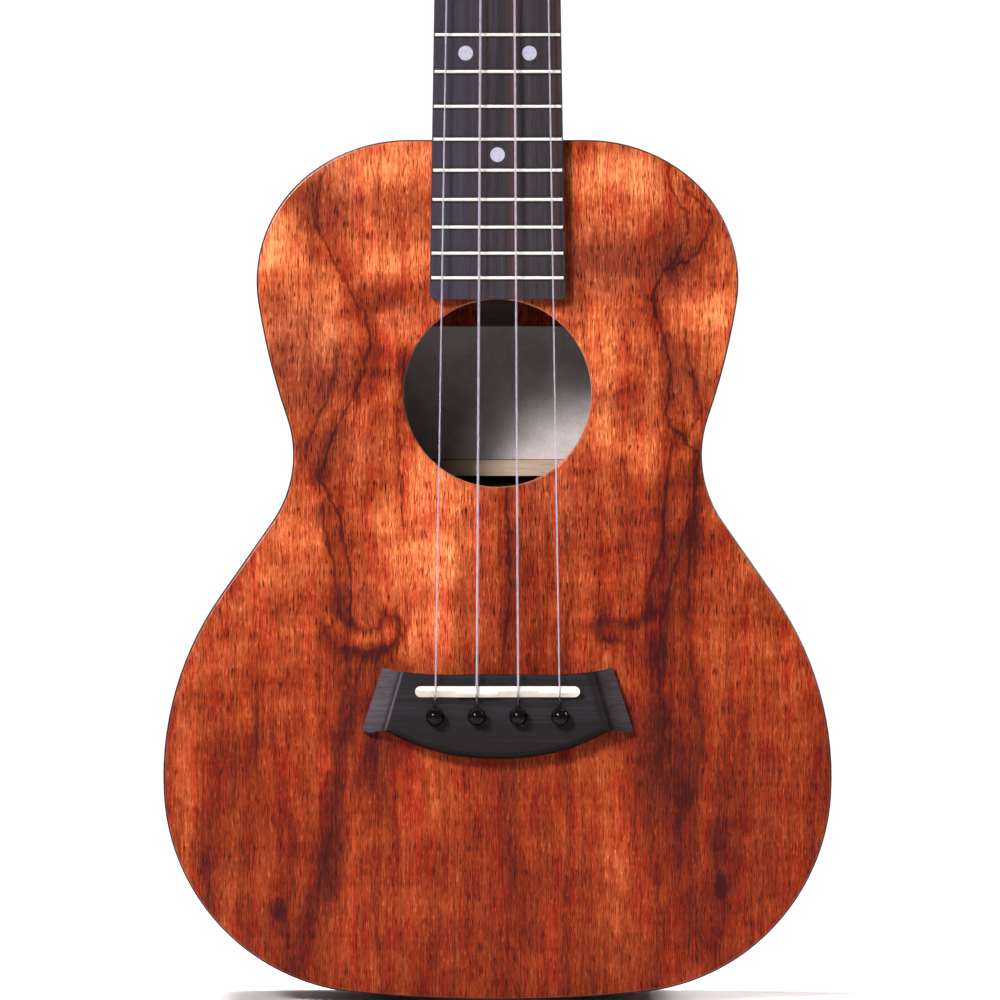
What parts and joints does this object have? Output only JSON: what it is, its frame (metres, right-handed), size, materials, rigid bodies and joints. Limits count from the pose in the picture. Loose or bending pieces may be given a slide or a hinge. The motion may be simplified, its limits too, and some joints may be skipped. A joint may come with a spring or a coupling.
{
  "type": "ukulele",
  "caption": "Flat-top tenor ukulele with a figured two-piece wooden body, dark pinned bridge, round soundhole and geared tuning machines.",
  "frame": {"origin": "centre of the neck just behind the nut, where a wall hanger holds the instrument under the headstock", "axes": "+Z along the neck towards the headstock, -Y out of the soundboard, +X towards the treble side"},
  "size_m": [0.2332, 0.0856, 0.6759],
  "materials": {
    "koa_top": "satin lacquer, bookmatched figured koa",
    "koa_side": "satin lacquer",
    "koa_back": "satin lacquer",
    "mahogany": "satin lacquer",
    "spruce": "bare sanded wood",
    "maple": "bare sanded wood",
    "paper": "plain matt paper",
    "dark_cap": "satin dark wood",
    "ebony": "oiled, open fine grain",
    "fret_wire": "polished nickel silver",
    "pearl": "pearly inlay",
    "bone": "polished bone",
    "string_clear": "clear smooth",
    "pin_black": "glossy black",
    "tuner_metal": "polished plating",
    "gear_brass": "machined",
    "button_cream": "glossy black",
    "bolt_steel": "plain steel"
  },
  "bodies": {
    "instrument": {"soundboard_left": "koa_top", "soundboard_right": "koa_top", "side_left": "koa_side", "side_right": "koa_side", "back_left": "koa_back", "back_right": "koa_back", "neck": "mahogany", "neck_block": "mahogany", "tail_block": "mahogany", "linings": "spruce", "top_braces": "spruce", "back_braces": "spruce", "back_seam_strip": "spruce", "bridge_plate": "maple", "label": "paper", "heel_cap": "dark_cap", "headstock_veneer": "dark_cap", "fingerboard": "ebony", "bridge": "ebony", "frets": "fret_wire", "fret_markers": "pearl", "side_dots": "pearl", "nut": "bone", "saddle": "bone", "neck_bolts": "bolt_steel", "plate_screws": "bolt_steel", "tuner_plates": "tuner_metal", "tuner_bushings": "tuner_metal", "string_g": "string_clear", "string_c": "string_clear", "string_e": "string_clear", "string_a": "string_clear"},
    "worm_g": {"worm_shaft_g": "tuner_metal", "button_g": "button_cream"},
    "post_g": {"post_g": "tuner_metal", "gear_g": "gear_brass", "gear_screw_g": "tuner_metal", "string_winding_g": "string_clear"},
    "pin_g": {"bridge_pin_g": "pin_black"},
    "worm_c": {"worm_shaft_c": "tuner_metal", "button_c": "button_cream"},
    "post_c": {"post_c": "tuner_metal", "gear_c": "gear_brass", "gear_screw_c": "tuner_metal", "string_winding_c": "string_clear"},
    "pin_c": {"bridge_pin_c": "pin_black"},
    "worm_e": {"worm_shaft_e": "tuner_metal", "button_e": "button_cream"},
    "post_e": {"post_e": "tuner_metal", "gear_e": "gear_brass", "gear_screw_e": "tuner_metal", "string_winding_e": "string_clear"},
    "pin_e": {"bridge_pin_e": "pin_black"},
    "worm_a": {"worm_shaft_a": "tuner_metal", "button_a": "button_cream"},
    "post_a": {"post_a": "tuner_metal", "gear_a": "gear_brass", "gear_screw_a": "tuner_metal", "string_winding_a": "string_clear"},
    "pin_a": {"bridge_pin_a": "pin_black"}
  },
  "joints": [
    {"name": "worm_turn_g", "type": "hinge", "parent": "instrument", "child": "worm_g", "pos_m": [-0.02, 0.01885, 0.03548], "axis": [-1, 0, 0], "continuous": true},
    {"name": "post_turn_g", "type": "hinge", "parent": "instrument", "child": "post_g", "pos_m": [-0.02, 0.00169, 0.03219], "axis": [0, -0.9781, 0.2079], "continuous": true},
    {"name": "pin_pull_g", "type": "slide", "parent": "instrument", "child": "pin_g", "axis": [0, -1, 0], "range_m": [0, 0.025]},
    {"name": "worm_turn_c", "type": "hinge", "parent": "instrument", "child": "worm_c", "pos_m": [-0.0175, 0.02904, 0.08341], "axis": [-1, 0, 0], "continuous": true},
    {"name": "post_turn_c", "type": "hinge", "parent": "instrument", "child": "post_c", "pos_m": [-0.0175, 0.01188, 0.08012], "axis": [0, -0.9781, 0.2079], "continuous": true},
    {"name": "pin_pull_c", "type": "slide", "parent": "instrument", "child": "pin_c", "axis": [0, -1, 0], "range_m": [0, 0.025]},
    {"name": "worm_turn_e", "type": "hinge", "parent": "instrument", "child": "worm_e", "pos_m": [0.0175, 0.02904, 0.08341], "axis": [1, 0, 0], "continuous": true},
    {"name": "post_turn_e", "type": "hinge", "parent": "instrument", "child": "post_e", "pos_m": [0.0175, 0.01188, 0.08012], "axis": [0, -0.9781, 0.2079], "continuous": true},
    {"name": "pin_pull_e", "type": "slide", "parent": "instrument", "child": "pin_e", "axis": [0, -1, 0], "range_m": [0, 0.025]},
    {"name": "worm_turn_a", "type": "hinge", "parent": "instrument", "child": "worm_a", "pos_m": [0.02, 0.01885, 0.03548], "axis": [1, 0, 0], "continuous": true},
    {"name": "post_turn_a", "type": "hinge", "parent": "instrument", "child": "post_a", "pos_m": [0.02, 0.00169, 0.03219], "axis": [0, -0.9781, 0.2079], "continuous": true},
    {"name": "pin_pull_a", "type": "slide", "parent": "instrument", "child": "pin_a", "axis": [0, -1, 0], "range_m": [0, 0.025]}
  ],
  "couplings": [
    {"joint": "post_turn_g", "follows": "worm_turn_g", "ratio": 0.071429},
    {"joint": "post_turn_c", "follows": "worm_turn_c", "ratio": 0.071429},
    {"joint": "post_turn_e", "follows": "worm_turn_e", "ratio": 0.071429},
    {"joint": "post_turn_a", "follows": "worm_turn_a", "ratio": 0.071429}
  ]
}
